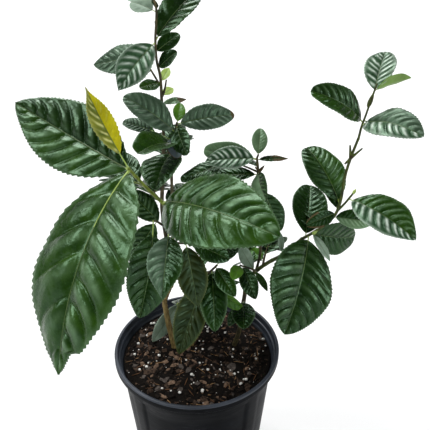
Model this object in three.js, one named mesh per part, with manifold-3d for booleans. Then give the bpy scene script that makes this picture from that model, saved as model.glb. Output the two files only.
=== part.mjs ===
// A young tea bush in a plastic nursery pot: pot, potting mix, three stems from the mix,
// their boughs, and masses of leaves, each mass grown on its own twigs.
// Millimetres, +Z up, origin at the centre of the pot's underside, the front towards -Y.
import * as THREE from 'three';
import { mergeVertices } from 'three/addons/utils/BufferGeometryUtils.js';
import Module from 'manifold-3d';

const wasm = await Module();
wasm.setup();

const GAP = 0.3;

const POT = {
  height: 165, rimRadius: 82.5, rimDepth: 7, bandRadius: 77.3, footRadius: 64,
  wall: 1.5, floor: 2.5, segments: 56, rimCurl: 1.4, footRound: 2,
  lipInnerRadius: 79.2, lipDepth: 6, ledgeDepth: 12, ledge: 1.2, ledgeFall: 2.4, draft: 0.4,
};
const PANEL = {
  count: 4, firstAngle: -90, halfAngle: 38, depth: 0.8, bottom: 14, top: 146, slope: 1.2,
  skin: 0.1,
};
const DRAIN = { count: 6, radius: 66, width: 14, length: 16, height: 6.5, firstAngle: -60 };
const MIX = {
  top: 153, rings: 5, sectors: 36, facetGap: 0.2, edgeBelow: 1,
  crumb: 0.55, crumbWaves: [1.7, 0.9, -0.6, 1.3],
};

const COLOURS = {
  pot: new THREE.MeshStandardMaterial({ color: 0x24272c, roughness: 0.55, metalness: 0 }),
  mix: new THREE.MeshStandardMaterial({ color: 0x2a1c14, roughness: 0.95, metalness: 0 }),
  bark: new THREE.MeshStandardMaterial({ color: 0x6a5236, roughness: 0.8, metalness: 0 }),
  shoot: new THREE.MeshStandardMaterial({ color: 0x7f8c3a, roughness: 0.6, metalness: 0 }),
  leaf: new THREE.MeshStandardMaterial({ color: 0x1f3f22, roughness: 0.45, metalness: 0 }),
};

// Each limb follows a smooth curve through its points and tapers between its two radii.
const LIMBS = {
  main_stem: {
    path: [[-24, 7, 153.3], [-28, 8, 173], [-31, 9, 194], [-32, 10, 208], [-27, 10, 222],
      [-23, 11, 236], [-28, 13, 280], [-30, 13, 310], [-27, 12, 345], [-25, 10, 377]],
    radius: [3.0, 1.4], sides: 9, steps: 27,
  },
  second_stem: {
    path: [[-19.6, 8.6, 236], [-18, 4, 250], [-20, 2, 280], [-19, 0, 331], [-18, -2, 361]],
    radius: [1.6, 1.2], sides: 8, steps: 16,
  },
  middle_stem: {
    path: [[-6, 10, 153.3], [-7, 9, 180], [-1, 6, 212], [6, 3, 238]],
    radius: [2.1, 1.6], sides: 8, steps: 9,
  },
  right_stem: {
    path: [[38, 10, 153.3], [43, 10, 172], [46, 10, 203], [50, 10, 232], [58, 10, 243],
      [70, 10, 253], [83, 9, 262], [99, 8, 279]],
    radius: [2.4, 1.6], sides: 8, steps: 24,
  },
  right_bough: {
    path: [[129, 5, 322.4], [129.5, 5, 339], [132, 4, 357], [136, 3, 374]],
    radius: [1.3, 1.1], sides: 8, steps: 8,
  },
  near_bough: {
    path: [[-20, -0.4, 268], [-17, -28, 300], [-16, -50, 325], [-18, -67, 345.6]],
    radius: [1.6, 1.5], sides: 8, steps: 12,
  },
  centre_bough: {
    path: [[58.5, 13.3, 244], [59.3, 15.2, 246], [61.5, 17.5, 258], [61, 19, 276],
      [60, 21, 304], [57, 22, 333]],
    radius: [1.4, 1.2], sides: 8, steps: 15,
  },
};

// A leaf row is [place along its twig, heading, pitch, length, width, roll, bend, fold, stalk,
// tip]. Heading 0 is +X and 90 is +Y, and angles are degrees. A stalk of 0 or none is the usual
// short one. The tip is blunt at 0 or none, and 1 draws it out to a point.
const MASSES = {
  near_shoot: [{
    path: [[-18, -67.3, 345.95], [-26, -83, 363], [-33, -96, 379], [-34, -98, 382]],
    radius: [1.5, 1.0],
    leaves: [
      [0.03, -46, 6, 103, 49, 40, 48, 2, 0, 0.3], [0.75, -114, -49, 121, 64, 7, 50, 1, 3, 0.8],
      [0.7, 151, 19, 100, 46, -49, -18, 6, 3, 0.6], [1, 138, 50, 57, 14.5, -20, -28, 10, 11, 2.3],
    ],
  }],
  crown_shoot: [{
    path: [[-25, 10, 377.6], [-25, 9, 407], [-25, 8, 422], [-27, 6, 435], [-27, 5, 449],
      [-25, 4, 470], [-28, 3, 480], [-30, 3, 489]],
    radius: [1.3, 0.7],
    leaves: [
      [0.57, 28, 42, 57, 29, 30, 35, 13], [0.56, -155, -47, 46, 26, -50, 40, 12, 0, 1.1],
      [0.49, 31, 31, 24, 13, 50, 22, 13], [0.36, -15, 38, 20, 13, 60, 20, 15],
      [0.48, 163, -10, 56, 25, -53, 5, 5, 0, 0.6], [0.24, -144, -7, 19, 12, -34, 10, 4],
      [0.25, 73, 25, 20, 7, 30, 20, 10, 0, 1], [0.15, 66, 8, 20, 7, 41, 20, 10, 0, 1],
      [0.11, 29, 5, 22, 8, 26, 9, 11, 0, 1], [0.84, 150, 5, 27, 13, -60, 15, 9],
      [0.7, 141, 15, 28, 15, -43, 20, 10, 4], [0.72, 110, 35, 12, 6, 30, 10, 10],
      [0.9, 70, 35, 32, 14, 0, 20, 10, 0, 0.6], [1, -60, 55, 24, 9, 0, -10, 20, 0, 1],
      [1, 120, 60, 20, 8, 0, -10, 20, 0, 1],
    ],
  }, {
    path: [[-25.2, 8.5, 415], [-30, 7, 424], [-34, 6, 431]],
    radius: [0.9, 0.7],
    leaves: [[1, 75, 60, 10, 6, 0, 20, 10], [0.7, 170, -15, 12, 6, -40, 20, 10]],
  }, {
    path: [[-24.5, 9, 407], [-22, 9, 413], [-20.5, 9, 420]],
    radius: [1.1, 0.6],
    leaves: [],
  }],
  whorl: [{
    path: [[-18, -2.1, 361.6], [-16, -3, 370], [-14, -4, 380], [-12, -4, 389]],
    radius: [1.5, 1.0],
    leaves: [
      [0.7, -178, 36, 48, 27, -40, 34, 12], [1, 84, 35, 21, 10, 19, 20, 11],
      [0.95, 19, 5, 49, 23, 49, 24, 10, 0, 0.2], [0.45, 178, 21, 43, 15, -28, 27, 9, 20, -0.3],
      [0.4, -124, 2, 42, 30, -16, 38, 22, 0, -0.4], [0.1, -102, -20, 47, 33, 8, 38, 14, 0, 0.5],
      [0.9, -68, -36, 30, 16, 40, 20, 12], [0.6, -82, -24, 27, 15, 0, 15, 5],
      [0.2, 72, 5, 38, 17, 0, 25, 10],
    ],
  }],
  centre_shoot: [{
    path: [[57, 22, 333.6], [56, 21, 345], [55, 20, 352], [56, 19, 356]],
    radius: [1.3, 0.8],
    leaves: [
      [0.67, 174, -5, 46, 23, -44, 23, 14, 0, 0.6], [0.9, 81, 36, 31, 14, 10, 17, 8],
      [0.6, 17, -3, 30, 9, 17, 6, 9, 0, 1], [0.15, -82, -23, 35, 17, 51, 32, 17, 0, 0.2],
      [0.3, 125, 0, 34, 15, 10, 20, 10], [0.6, 161, 5, 50, 22, -60, 12, 8, 0, -0.2],
      [0.1, 168, -6, 47, 19, -23, 6, 8, 0, -0.2],
    ],
  }, {
    path: [[56.5, 21.5, 339], [46, 24, 343], [33, 27, 347]],
    radius: [1.0, 0.7],
    leaves: [[1, -174, -19, 49, 21, -20, 9, 7, 0, -0.3]],
  }],
  right_lower: [{
    path: [[99.4, 8, 279.4], [107, 7, 285], [116, 7, 292], [125, 6, 303], [128, 5, 314],
      [129, 5, 322]],
    radius: [1.5, 1.3],
    leaves: [
      [0.13, -113, -40, 93, 60, -37, 30, 8, 0, 0.4], [0.17, 14, -12, 47, 34, 88, 21, 17],
      [0.2, -43, -45, 30, 10, 6, 9, 8, 0, 1], [0.06, 77, 30, 62, 35, 11, 27, 17],
      [0.65, -158, -12, 31, 14, -57, 20, 9], [0.82, 121, 40, 62, 35, -15, 45, 9, 0, -0.2],
      [0.58, 2, -10, 36, 18, 50, 17, 11], [0.4, 100, 5, 44, 20, 0, 20, 10],
      [0.7, 100, 35, 40, 16, 0, 25, 10], [0.3, 115, 8, 32, 15, 0, 25, 10],
    ],
  }, {
    path: [[127, 5.6, 308], [133, 5, 316], [139, 4.5, 326]],
    radius: [1.2, 0.9],
    leaves: [[0.7, -47, -15, 65, 40, 20, 38, 10, 0, 0.7]],
  }],
  right_top: [{
    path: [[136.2, 3, 374.4], [137, 2.6, 384], [139, 2, 394], [142, 1, 410], [144, 1, 418]],
    radius: [1.1, 0.7],
    leaves: [
      [0.34, -172, 29, 53, 28, -47, 50, 15, 4, -0.2], [0.3, -60, 2, 56, 29, 34, 62, 6, 0, 0.4],
      [0.78, 64, 35, 48, 25, -1, 22, 20, 0, 0.4], [0.82, 16, 15, 33, 14, -49, 20, 22, 0, 0.8],
      [0.4, 25, -35, 26, 12, 0, 20, 10],
    ],
  }],
  near_leaf: [{
    path: [[-17.25, -40.3, 311.5], [-18, -41.5, 310.5], [-18.5, -42.4, 309.7]],
    radius: [1.0, 0.8],
    leaves: [[1, -91, -26, 57, 27, -4, 22, 14, 0, 1.2]],
  }],
  stem_leaf: [{
    path: [[81.77, 7.96, 263.3], [81.2, 7.4, 264], [80.5, 6.9, 264.6]],
    radius: [0.9, 0.7],
    leaves: [[1, 106, 66, 20, 6.5, 9, 12, 11, 0, 0.5]],
  }],
  bough_leaf: [{
    path: [[60.05, 20.3, 320.3], [60.8, 19.6, 321.3], [61.4, 19.1, 322]],
    radius: [0.9, 0.7],
    leaves: [[1, -27, -61, 41, 20, 45, 14, 12, 0, 0.4]],
  }],
  left_side: [{
    path: [[-32.2, 11.4, 292], [-34, 8, 296], [-37, 2, 300]],
    radius: [1.2, 0.9],
    leaves: [
      [0.2, 151, 38, 43, 22, -43, 20, 10, 0, 0.3], [0.6, -154, -52, 45, 23, -54, 20, 11, 0, 0.4],
      [1, -98, -48, 85, 43, -40, 32, 14, 14, 0.5],
    ],
  }],
  low_left: [{
    path: [[-8.2, 10.6, 184.4], [-14, 18, 191], [-20, 24, 196]],
    radius: [1.1, 0.8],
    leaves: [[1, -144, -47, 48, 19, -75, 8, 12, 0, 0.6]],
  }],
  inner_shoot: [{
    path: [[-18.2, 1.2, 278], [-10, -3, 280], [-2, -6, 282]],
    radius: [1.2, 0.9],
    leaves: [
      [0.6, -66, -62, 58, 27, 11, 19, 10, 0, 0.9], [0.9, -7, -23, 38, 22, 35, 18, 7, 0, 0.3],
    ],
  }],
  low_centre: [{
    path: [[6.2, 3, 238.5], [12, 1, 246], [20, -1, 256]],
    radius: [1.5, 1.0],
    leaves: [
      [0.25, -130, -60, 78, 31, -19, 9, 12, 0, 0.7], [0.7, -86, -44, 56, 25, -2, 20, 10, 0, 0.4],
      [0.4, -31, -33, 44, 18, 88, 37, 19, 0, -0.5], [0.9, -58, -22, 36, 16, 28, 20, 10, 0, 0.4],
      [1, 60, 10, 40, 18, 10, 20, 10],
    ],
  }],
  low_right: [{
    path: [[58, 7.2, 243.5], [52, 2, 250], [41, -3, 257]],
    radius: [1.2, 0.9],
    leaves: [
      [0.9, -70, -28, 35, 16, 24, 20, 10, 0, 0.4], [1, -110, -5, 22, 12, -18, 20, 10],
      [0.15, -58, -30, 23, 8, -5, 16, 9, 0, 0.5], [0.2, 115, 22, 33, 14, -55, 18, 12, 0, 0.3],
    ],
  }],
  low_stalk: [{
    path: [[46, 6.8, 207], [46, 4, 211], [45, 1, 214]],
    radius: [1.0, 0.8],
    leaves: [
      [0.9, -92, -7, 36, 22, 1, 20, 10, 0, 0.2], [0.5, -144, -48, 28, 11, -20, 20, 10, 0, 0.4],
    ],
  }],
  back_upper: [{
    path: [[-26.5, 14.3, 348], [-27, 24, 354], [-26, 34, 362]],
    radius: [1.2, 0.9], leaves: [],
    fan: { count: 5, seed: 1, heading: 90, spread: 90, pitch: 8, length: 46 },
  }],
  back_centre: [{
    path: [[-19.5, 3.6, 303], [-8, 18, 303], [6, 34, 298]],
    radius: [1.2, 0.9], leaves: [],
    fan: { count: 6, seed: 2, heading: 50, spread: 215, pitch: -5, length: 52 },
  }],
  back_left: [{
    path: [[-30.5, 15.1, 312], [-40, 32, 315], [-57, 50, 315]],
    radius: [1.3, 0.9], leaves: [],
    fan: { count: 6, seed: 3, heading: 138, spread: 180, pitch: 2, length: 52 },
  }],
  back_right: [{
    path: [[64, 12.6, 249.5], [68, 28, 252], [72, 44, 252]],
    radius: [1.2, 0.9],
    leaves: [[0.2, 125, 6, 24, 11, -34, 20, 10]],
    fan: { count: 4, seed: 4, heading: 116, spread: 150, pitch: -5, length: 42 },
  }],
  back_low: [{
    path: [[-5.4, 11.6, 190], [-2, 26, 204], [2, 40, 216]],
    radius: [1.2, 0.9], leaves: [],
    fan: { count: 5, seed: 5, heading: 62, spread: 170, pitch: 0, length: 46 },
  }],
};

const LEAF = {
  stalkShare: 0.06, stalkHalfWidth: 0.9, tipHalfWidth: 0.5, thicknessShare: 0.012,
  leastThickness: 0.9, longLeaf: 60, longSteps: 6, shortSteps: 4, tipCrowding: 1.35,
  swell: 0.95, fullness: 0.72, tipTaper: 0.5, tipRound: 0.2,
};
const FAN = {
  goldenTurn: 0.381966, seedTurn: 0.17, firstPlace: 0.7, tilt: 16, pitchStray: 8, lengthStray: 0.15,
  widthShare: 0.44, widthStray: 0.03, rollStray: 15, bend: 24, bendStray: 8, fold: 11,
  stalk: 0, tip: 0.4,
};
const TWIG = { sides: 3, stepsPerPoint: 2 };
const WAVE = { leafStep: 12.9898, seedStep: 78.233, seedsApart: 7, scale: 43758.5453 };

const radians = THREE.MathUtils.degToRad;
const lerp = THREE.MathUtils.lerp;
const fraction = (x) => x - Math.floor(x);

function toSolid(geometry) {
  const bare = geometry.clone();
  bare.deleteAttribute('normal');
  bare.deleteAttribute('uv');
  const merged = mergeVertices(bare, 1e-4);
  return new wasm.Manifold(new wasm.Mesh({
    numProp: 3,
    vertProperties: new Float32Array(merged.attributes.position.array),
    triVerts: new Uint32Array(merged.index.array),
  }));
}

function toMesh(name, solid, material) {
  const { vertProperties, triVerts } = solid.getMesh();
  const geometry = new THREE.BufferGeometry();
  geometry.setAttribute('position', new THREE.BufferAttribute(vertProperties, 3));
  geometry.setIndex(new THREE.BufferAttribute(triVerts, 1));
  geometry.computeVertexNormals();
  const mesh = new THREE.Mesh(geometry, material);
  mesh.name = name;
  return mesh;
}

// Moves every vertex of a geometry to where a function of the vertex says.
function warp(geometry, place) {
  const position = geometry.attributes.position;
  const vertex = new THREE.Vector3();
  for (let i = 0; i < position.count; i += 1) {
    place(vertex.fromBufferAttribute(position, i));
    position.setXYZ(i, vertex.x, vertex.y, vertex.z);
  }
  return geometry;
}

function smoothPath(points) {
  const corners = points.map((point) => new THREE.Vector3(...point));
  return new THREE.CatmullRomCurve3(corners, false, 'catmullrom', 0.5);
}

// A tapering round limb: a unit cylinder whose rings are carried along the path.
function limbGeometry(points, radius, sides, steps) {
  const curve = smoothPath(points);
  const rings = [];
  let across = new THREE.Vector3(1, 0, 0);
  for (let i = 0; i <= steps; i += 1) {
    const t = i / steps;
    const along = curve.getTangent(t);
    across = across.clone().addScaledVector(along, -across.dot(along)).normalize();
    const third = new THREE.Vector3().crossVectors(across, along);
    rings.push({ centre: curve.getPoint(t), across, third, size: lerp(...radius, t) });
  }
  return warp(new THREE.CylinderGeometry(1, 1, 1, sides, steps), (v) => {
    const ring = rings[Math.round((v.y + 0.5) * steps)];
    const { x, z } = v;
    v.copy(ring.centre);
    v.addScaledVector(ring.across, x * ring.size).addScaledVector(ring.third, z * ring.size);
  });
}

function halfWidth(t, width, stalkShare, tip) {
  const s = (t - stalkShare) / (1 - stalkShare);
  if (s <= 0) return LEAF.stalkHalfWidth;
  const power = LEAF.fullness + (LEAF.tipTaper * tip - LEAF.tipRound) * s ** 3;
  const blade = (width / 2) * Math.max(0, Math.sin(Math.PI * s ** LEAF.swell)) ** power;
  return Math.max(blade, lerp(LEAF.stalkHalfWidth, LEAF.tipHalfWidth, s));
}

// One leaf: a thin box of two halves, bent along an arc from foot to tip and folded a little
// along its midrib. Its foot lies on the twig's own line, so the stalk is sunk in the twig.
function leafGeometry(foot, row) {
  const [, heading, pitch, length, width, roll, bend, fold, stalk, tip = 0] = row;
  const [h, p] = [radians(heading), radians(pitch)];
  const along = new THREE.Vector3(
    Math.cos(p) * Math.cos(h), Math.cos(p) * Math.sin(h), Math.sin(p));
  const up = new THREE.Vector3(0, 0, 1).addScaledVector(along, -along.z).normalize();
  up.applyAxisAngle(along, radians(roll));
  const side = new THREE.Vector3().crossVectors(along, up);
  const turn = radians(bend);
  const arc = length / (2 * Math.sin(turn / 2));
  const stalkShare = stalk ? stalk / length : LEAF.stalkShare;
  const thickness = Math.max(LEAF.leastThickness, LEAF.thicknessShare * length);
  const steps = length > LEAF.longLeaf ? LEAF.longSteps : LEAF.shortSteps;
  const [cosFold, sinFold] = [Math.cos(radians(fold)), Math.sin(radians(fold))];
  const places = [0, stalkShare];
  for (let i = 1; i <= steps; i += 1) {
    places.push(lerp(stalkShare, 1, 1 - (1 - i / steps) ** LEAF.tipCrowding));
  }
  const last = places.length - 1;
  return warp(new THREE.BoxGeometry(2, 1, 1, 2, last, 1), (v) => {
    const t = places[Math.round((v.y + 0.5) * last)];
    const angle = turn / 2 - turn * t;
    const half = halfWidth(t, width, stalkShare, tip);
    const normal = up.clone().multiplyScalar(Math.cos(angle));
    normal.addScaledVector(along, -Math.sin(angle));
    const across = v.x * half * cosFold;
    const raise = Math.abs(v.x) * half * sinFold + v.z * thickness;
    v.copy(foot);
    v.addScaledVector(along, arc * (Math.sin(turn / 2) - Math.sin(angle)));
    v.addScaledVector(up, arc * (Math.cos(angle) - Math.cos(turn / 2)));
    v.addScaledVector(side, across).addScaledVector(normal, raise);
  });
}

// Round its back the bush fills out by one rule: each leaf stands a golden angle on from the
// last, folded into the fan's spread, and its sizes stray a little by a seeded wave.
function fanLeaves({ count, seed, heading, spread, pitch, length }) {
  const rows = [];
  for (let n = 0; n < count; n += 1) {
    const stray = (k) => {
      const phase = (n + 1) * WAVE.leafStep + (seed + WAVE.seedsApart * k) * WAVE.seedStep;
      return 2 * fraction(Math.sin(phase) * WAVE.scale) - 1;
    };
    const turn = fraction(n * FAN.goldenTurn + seed * FAN.seedTurn) - 0.5;
    const long = length * (1 + FAN.lengthStray * stray(2));
    const tilt = n % 2 ? FAN.tilt : -FAN.tilt;
    rows.push([
      (n + FAN.firstPlace) / count, heading + spread * turn,
      pitch + tilt + FAN.pitchStray * stray(1),
      long, long * (FAN.widthShare + FAN.widthStray * stray(3)), FAN.rollStray * stray(4),
      FAN.bend + FAN.bendStray * stray(5), FAN.fold, FAN.stalk, FAN.tip,
    ]);
  }
  return rows;
}

function massSolid(twigs) {
  const pieces = [];
  for (const { path, radius, leaves, fan } of twigs) {
    const steps = TWIG.stepsPerPoint * (path.length - 1);
    const curve = smoothPath(path);
    pieces.push(toSolid(limbGeometry(path, radius, TWIG.sides, steps)));
    for (const row of fan ? [...leaves, ...fanLeaves(fan)] : leaves) {
      pieces.push(toSolid(leafGeometry(curve.getPoint(row[0]), row)));
    }
  }
  return pieces.reduce((whole, piece) => whole.add(piece));
}

const slopeRadius = (z) => (
  lerp(POT.footRadius, POT.bandRadius, z / (POT.height - POT.rimDepth)));
const innerRadius = (z) => slopeRadius(z) - POT.wall;

// The pot is turned from one closed outline. Its outer wall then sinks in at four panels.
function potGeometry() {
  const { height, rimDepth, rimRadius, rimCurl, floor, footRound } = POT;
  const { lipInnerRadius, lipDepth, ledge, ledgeDepth, ledgeFall, draft } = POT;
  const bandTop = height - rimDepth;
  const wallTop = height - ledgeDepth - ledgeFall;
  const outline = [
    [0, 0], [POT.footRadius - footRound, 0], [slopeRadius(footRound), footRound],
    [slopeRadius(PANEL.bottom), PANEL.bottom],
    [slopeRadius(PANEL.bottom + PANEL.slope), PANEL.bottom + PANEL.slope],
    [slopeRadius(PANEL.top - PANEL.slope), PANEL.top - PANEL.slope],
    [slopeRadius(PANEL.top), PANEL.top], [POT.bandRadius, bandTop],
    [rimRadius - rimCurl, bandTop], [rimRadius, bandTop + rimCurl],
    [rimRadius, height - rimCurl], [rimRadius - rimCurl, height],
    [lipInnerRadius, height], [lipInnerRadius - draft, height - lipDepth],
    [lipInnerRadius - draft - ledge, height - lipDepth - draft],
    [lipInnerRadius - 2 * draft - ledge, height - ledgeDepth],
    [innerRadius(wallTop), wallTop], [innerRadius(floor), floor], [0, floor],
  ].map(([r, z]) => new THREE.Vector2(r, z));
  const lathe = new THREE.LatheGeometry(outline, POT.segments);
  return warp(lathe, (v) => {
    const [radius, z] = [Math.hypot(v.x, v.z), v.y];
    const angle = THREE.MathUtils.radToDeg(Math.atan2(-v.z, v.x));
    const turns = (angle - PANEL.firstAngle) * (PANEL.count / 360);
    const fromMiddle = Math.abs(turns - Math.round(turns)) * (360 / PANEL.count);
    const outside = radius > slopeRadius(z) - PANEL.skin;
    const inHeight = z > PANEL.bottom + PANEL.skin && z < PANEL.top - PANEL.skin;
    const sink = outside && inHeight && fromMiddle < PANEL.halfAngle ? PANEL.depth : 0;
    const scale = radius > 0 ? (radius - sink) / radius : 1;
    v.set(v.x * scale, -v.z * scale, z);
  });
}

function drainCutter(index) {
  const { radius, width, length, height, count, firstAngle } = DRAIN;
  const cutter = new THREE.BoxGeometry(length, width, 2 * height);
  cutter.translate(radius, 0, 0);
  cutter.rotateZ(radians(firstAngle + (index * 360) / count));
  return toSolid(cutter);
}

// The mix fills the pot to just under the rim, with a crumbly top.
function mixGeometry() {
  const bottom = POT.floor + GAP;
  const level = MIX.top - MIX.crumb;
  const edge = level - MIX.edgeBelow;
  const wallAt = (z) => innerRadius(z) - GAP - MIX.facetGap;
  const outline = [[0, bottom], [wallAt(bottom), bottom], [wallAt(edge), edge]];
  for (let ring = MIX.rings; ring > 0; ring -= 1) {
    outline.push([(ring / (MIX.rings + 1)) * wallAt(level), level]);
  }
  outline.push([0, level]);
  const points = outline.map(([r, z]) => new THREE.Vector2(r, z));
  const [alongX, alongY, acrossX, acrossY] = MIX.crumbWaves;
  return warp(new THREE.LatheGeometry(points, MIX.sectors), (v) => {
    const [x, y, z] = [v.x, -v.z, v.y];
    const loose = z > edge && x * x + y * y > 0;
    const bump = Math.sin(x * alongX + y * alongY) * Math.cos(x * acrossX + y * acrossY);
    v.set(x, y, loose ? z + MIX.crumb * bump : z);
  });
}

const bush = new THREE.Group();

let pot = toSolid(potGeometry());
for (let i = 0; i < DRAIN.count; i += 1) pot = pot.subtract(drainCutter(i));
bush.add(toMesh('pot', pot, COLOURS.pot));
bush.add(toMesh('potting_mix', toSolid(mixGeometry()), COLOURS.mix));
for (const [name, { path, radius, sides, steps }] of Object.entries(LIMBS)) {
  const material = name === 'near_bough' ? COLOURS.shoot : COLOURS.bark;
  bush.add(toMesh(name, toSolid(limbGeometry(path, radius, sides, steps)), material));
}
for (const [name, twigs] of Object.entries(MASSES)) {
  bush.add(toMesh(name, massSolid(twigs), COLOURS.leaf));
}

export default bush;
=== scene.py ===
import math
import random

import bmesh
import bpy
from mathutils import Matrix, Vector, noise


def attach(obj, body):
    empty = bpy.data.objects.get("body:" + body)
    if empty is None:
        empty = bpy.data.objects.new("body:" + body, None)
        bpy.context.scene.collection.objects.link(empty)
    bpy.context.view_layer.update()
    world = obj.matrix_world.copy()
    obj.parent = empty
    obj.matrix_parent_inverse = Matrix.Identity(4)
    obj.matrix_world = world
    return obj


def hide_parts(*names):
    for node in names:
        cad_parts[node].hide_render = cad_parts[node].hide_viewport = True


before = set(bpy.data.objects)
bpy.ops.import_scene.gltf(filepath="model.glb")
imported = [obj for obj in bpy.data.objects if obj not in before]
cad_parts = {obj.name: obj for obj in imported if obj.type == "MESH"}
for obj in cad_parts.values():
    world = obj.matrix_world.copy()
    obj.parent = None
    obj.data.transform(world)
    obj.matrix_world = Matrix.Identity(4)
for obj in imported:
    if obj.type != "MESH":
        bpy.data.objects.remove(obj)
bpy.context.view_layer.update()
studio = bpy.context.scene.collection

# The camera stands close in front of the plant, a little higher than the middle of the
# crown, and looks down over the nearest leaves into the pot.
CAMERA_PLACE = (0.018, -0.345, 0.463)
CAMERA_PITCH = 24.4
camera = bpy.data.objects.new("camera", bpy.data.cameras.new("camera"))
camera.data.sensor_width = 36
camera.data.lens = 36
camera.data.clip_start = 0.01
camera.location = CAMERA_PLACE
camera.rotation_euler = (math.radians(90 - CAMERA_PITCH), 0, 0)
studio.objects.link(camera)
bpy.context.scene.camera = camera
bpy.context.scene.view_settings.view_transform = "Standard"

# The pot is moulded in thin black polypropylene: a tapering wall with four shallow sunk
# panels, a rolled rim to lift it by, and two ledges inside where empty pots stack.
MM = 0.001
FOOT_RADIUS = 64
BAND_RADIUS = 77.3
BAND_TOP = 158
WALL = 1.5
FLOOR_TOP = 2.5
LIP_FOOT = 163
POT_STEPS = 180
PANEL_TURN = 90
PANEL_HALF = 38
PANEL_DEPTH = 0.8
PANEL_BOTTOM = 14
PANEL_TOP = 146
PANEL_EDGE = 0.9
DRAIN_COUNT = 6
DRAIN_RADIUS = 66
DRAIN_SIZE = (16, 14, 13)


def mix_colour(nodes, links, factor, low, high):
    """The output of a node that runs from one colour to another by a factor."""
    blend = nodes.new("ShaderNodeMix")
    blend.data_type = "RGBA"
    blend.inputs["A"].default_value = (*low, 1) if isinstance(low, tuple) else (0, 0, 0, 1)
    blend.inputs["B"].default_value = (*high, 1)
    if not isinstance(low, tuple):
        links.new(low, blend.inputs["A"])
    links.new(factor, blend.inputs["Factor"])
    return blend.outputs["Result"]


def band(nodes, links, value, start, end, low=0.0, high=1.0):
    """A value's stretch from start to end, carried over to low to high and held there."""
    carried = nodes.new("ShaderNodeMapRange")
    carried.inputs["From Min"].default_value = start
    carried.inputs["From Max"].default_value = end
    carried.inputs["To Min"].default_value = low
    carried.inputs["To Max"].default_value = high
    links.new(value, carried.inputs["Value"])
    return carried.outputs["Result"]


def speckle(nodes, links, place, size, detail=4, stretch=(1, 1, 1)):
    """Soft noise whose spots are about size metres across, on a piece's own coordinates."""
    turned = nodes.new("ShaderNodeMapping")
    turned.inputs["Scale"].default_value = stretch
    links.new(place, turned.inputs["Vector"])
    spots = nodes.new("ShaderNodeTexNoise")
    spots.inputs["Scale"].default_value = 1 / size
    spots.inputs["Detail"].default_value = detail
    links.new(turned.outputs["Vector"], spots.inputs["Vector"])
    return spots.outputs["Fac"]


def new_finish(name):
    """An empty finish, with its nodes, its links, its shader and its object coordinates."""
    finish = bpy.data.materials.new(name)
    finish.use_nodes = True
    nodes = finish.node_tree.nodes
    place = nodes.new("ShaderNodeTexCoord").outputs["Object"]
    return finish, nodes, finish.node_tree.links, nodes["Principled BSDF"], place


def raise_grain(nodes, links, shader, height, depth, strength=1.0):
    """Relief of that depth in metres on a shader, from a height of 0 to 1."""
    relief = nodes.new("ShaderNodeBump")
    relief.inputs["Distance"].default_value = depth
    relief.inputs["Strength"].default_value = strength
    links.new(height, relief.inputs["Height"])
    links.new(relief.outputs["Normal"], shader.inputs["Normal"])


def new_object(name, bm, finishes, smooth=True):
    """Turns a bmesh into one object of the scene, with its finishes in order."""
    mesh = bpy.data.meshes.new(name)
    for face in bm.faces:
        face.smooth = smooth
    bm.to_mesh(mesh)
    bm.free()
    for finish in finishes:
        mesh.materials.append(finish)
    made = bpy.data.objects.new(name, mesh)
    studio.objects.link(made)
    return made


def into_scene(name, bm, finishes, smooth=True):
    """Puts a bmesh into the scene as one piece that rides on the part's only body."""
    piece = new_object(name, bm, finishes, smooth)
    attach(piece, "root")
    return piece


def spin_line(bm, corners, steps):
    """Spins a line of corners, given in metres, once round the upright axis."""
    line = [bm.verts.new(corner) for corner in corners]
    edges = [bm.edges.new(pair) for pair in zip(line, line[1:])]
    bmesh.ops.spin(
        bm, geom=line + edges, cent=(0, 0, 0), axis=(0, 0, 1), angle=2 * math.pi,
        steps=steps, use_merge=True)
    bmesh.ops.remove_doubles(bm, verts=bm.verts, dist=1e-6)
    bmesh.ops.recalc_face_normals(bm, faces=bm.faces)


def wall_radius(z):
    """The outer wall's radius at a height, from its foot up to the band under the rim."""
    return FOOT_RADIUS + (BAND_RADIUS - FOOT_RADIUS) * z / BAND_TOP


def arc(centre, radius, start, end, steps):
    """Points of an arc in the plane of radius and height, angles in degrees."""
    turns = [math.radians(start + (end - start) * i / steps) for i in range(steps + 1)]
    return [(centre[0] + radius * math.cos(a), centre[1] + radius * math.sin(a)) for a in turns]


def pot_finish(name, dark, light, gloss):
    """Black plastic, a little blue, with a fine moulded grain and pale handling scuffs."""
    finish, nodes, links, shader, place = new_finish(name)
    tone = band(nodes, links, speckle(nodes, links, place, 0.03), 0.35, 0.65)
    colour = mix_colour(nodes, links, tone, dark, light)
    streaks = speckle(nodes, links, place, 0.006, 8, (0.4, 0.4, 6))
    scuffed = band(nodes, links, streaks, 0.58, 0.72)
    where = band(nodes, links, speckle(nodes, links, place, 0.04, 2), 0.45, 0.65)
    both = nodes.new("ShaderNodeMath")
    both.operation = "MULTIPLY"
    links.new(scuffed, both.inputs[0])
    links.new(where, both.inputs[1])
    colour = mix_colour(nodes, links, both.outputs[0], colour, (0.07, 0.075, 0.085))
    links.new(colour, shader.inputs["Base Color"])
    links.new(band(nodes, links, streaks, 0.3, 0.7, 0.36, 0.5), shader.inputs["Roughness"])
    shader.inputs["Specular IOR Level"].default_value = gloss
    raise_grain(nodes, links, shader, speckle(nodes, links, place, 0.0009), 0.00006, 0.5)
    return finish


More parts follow.
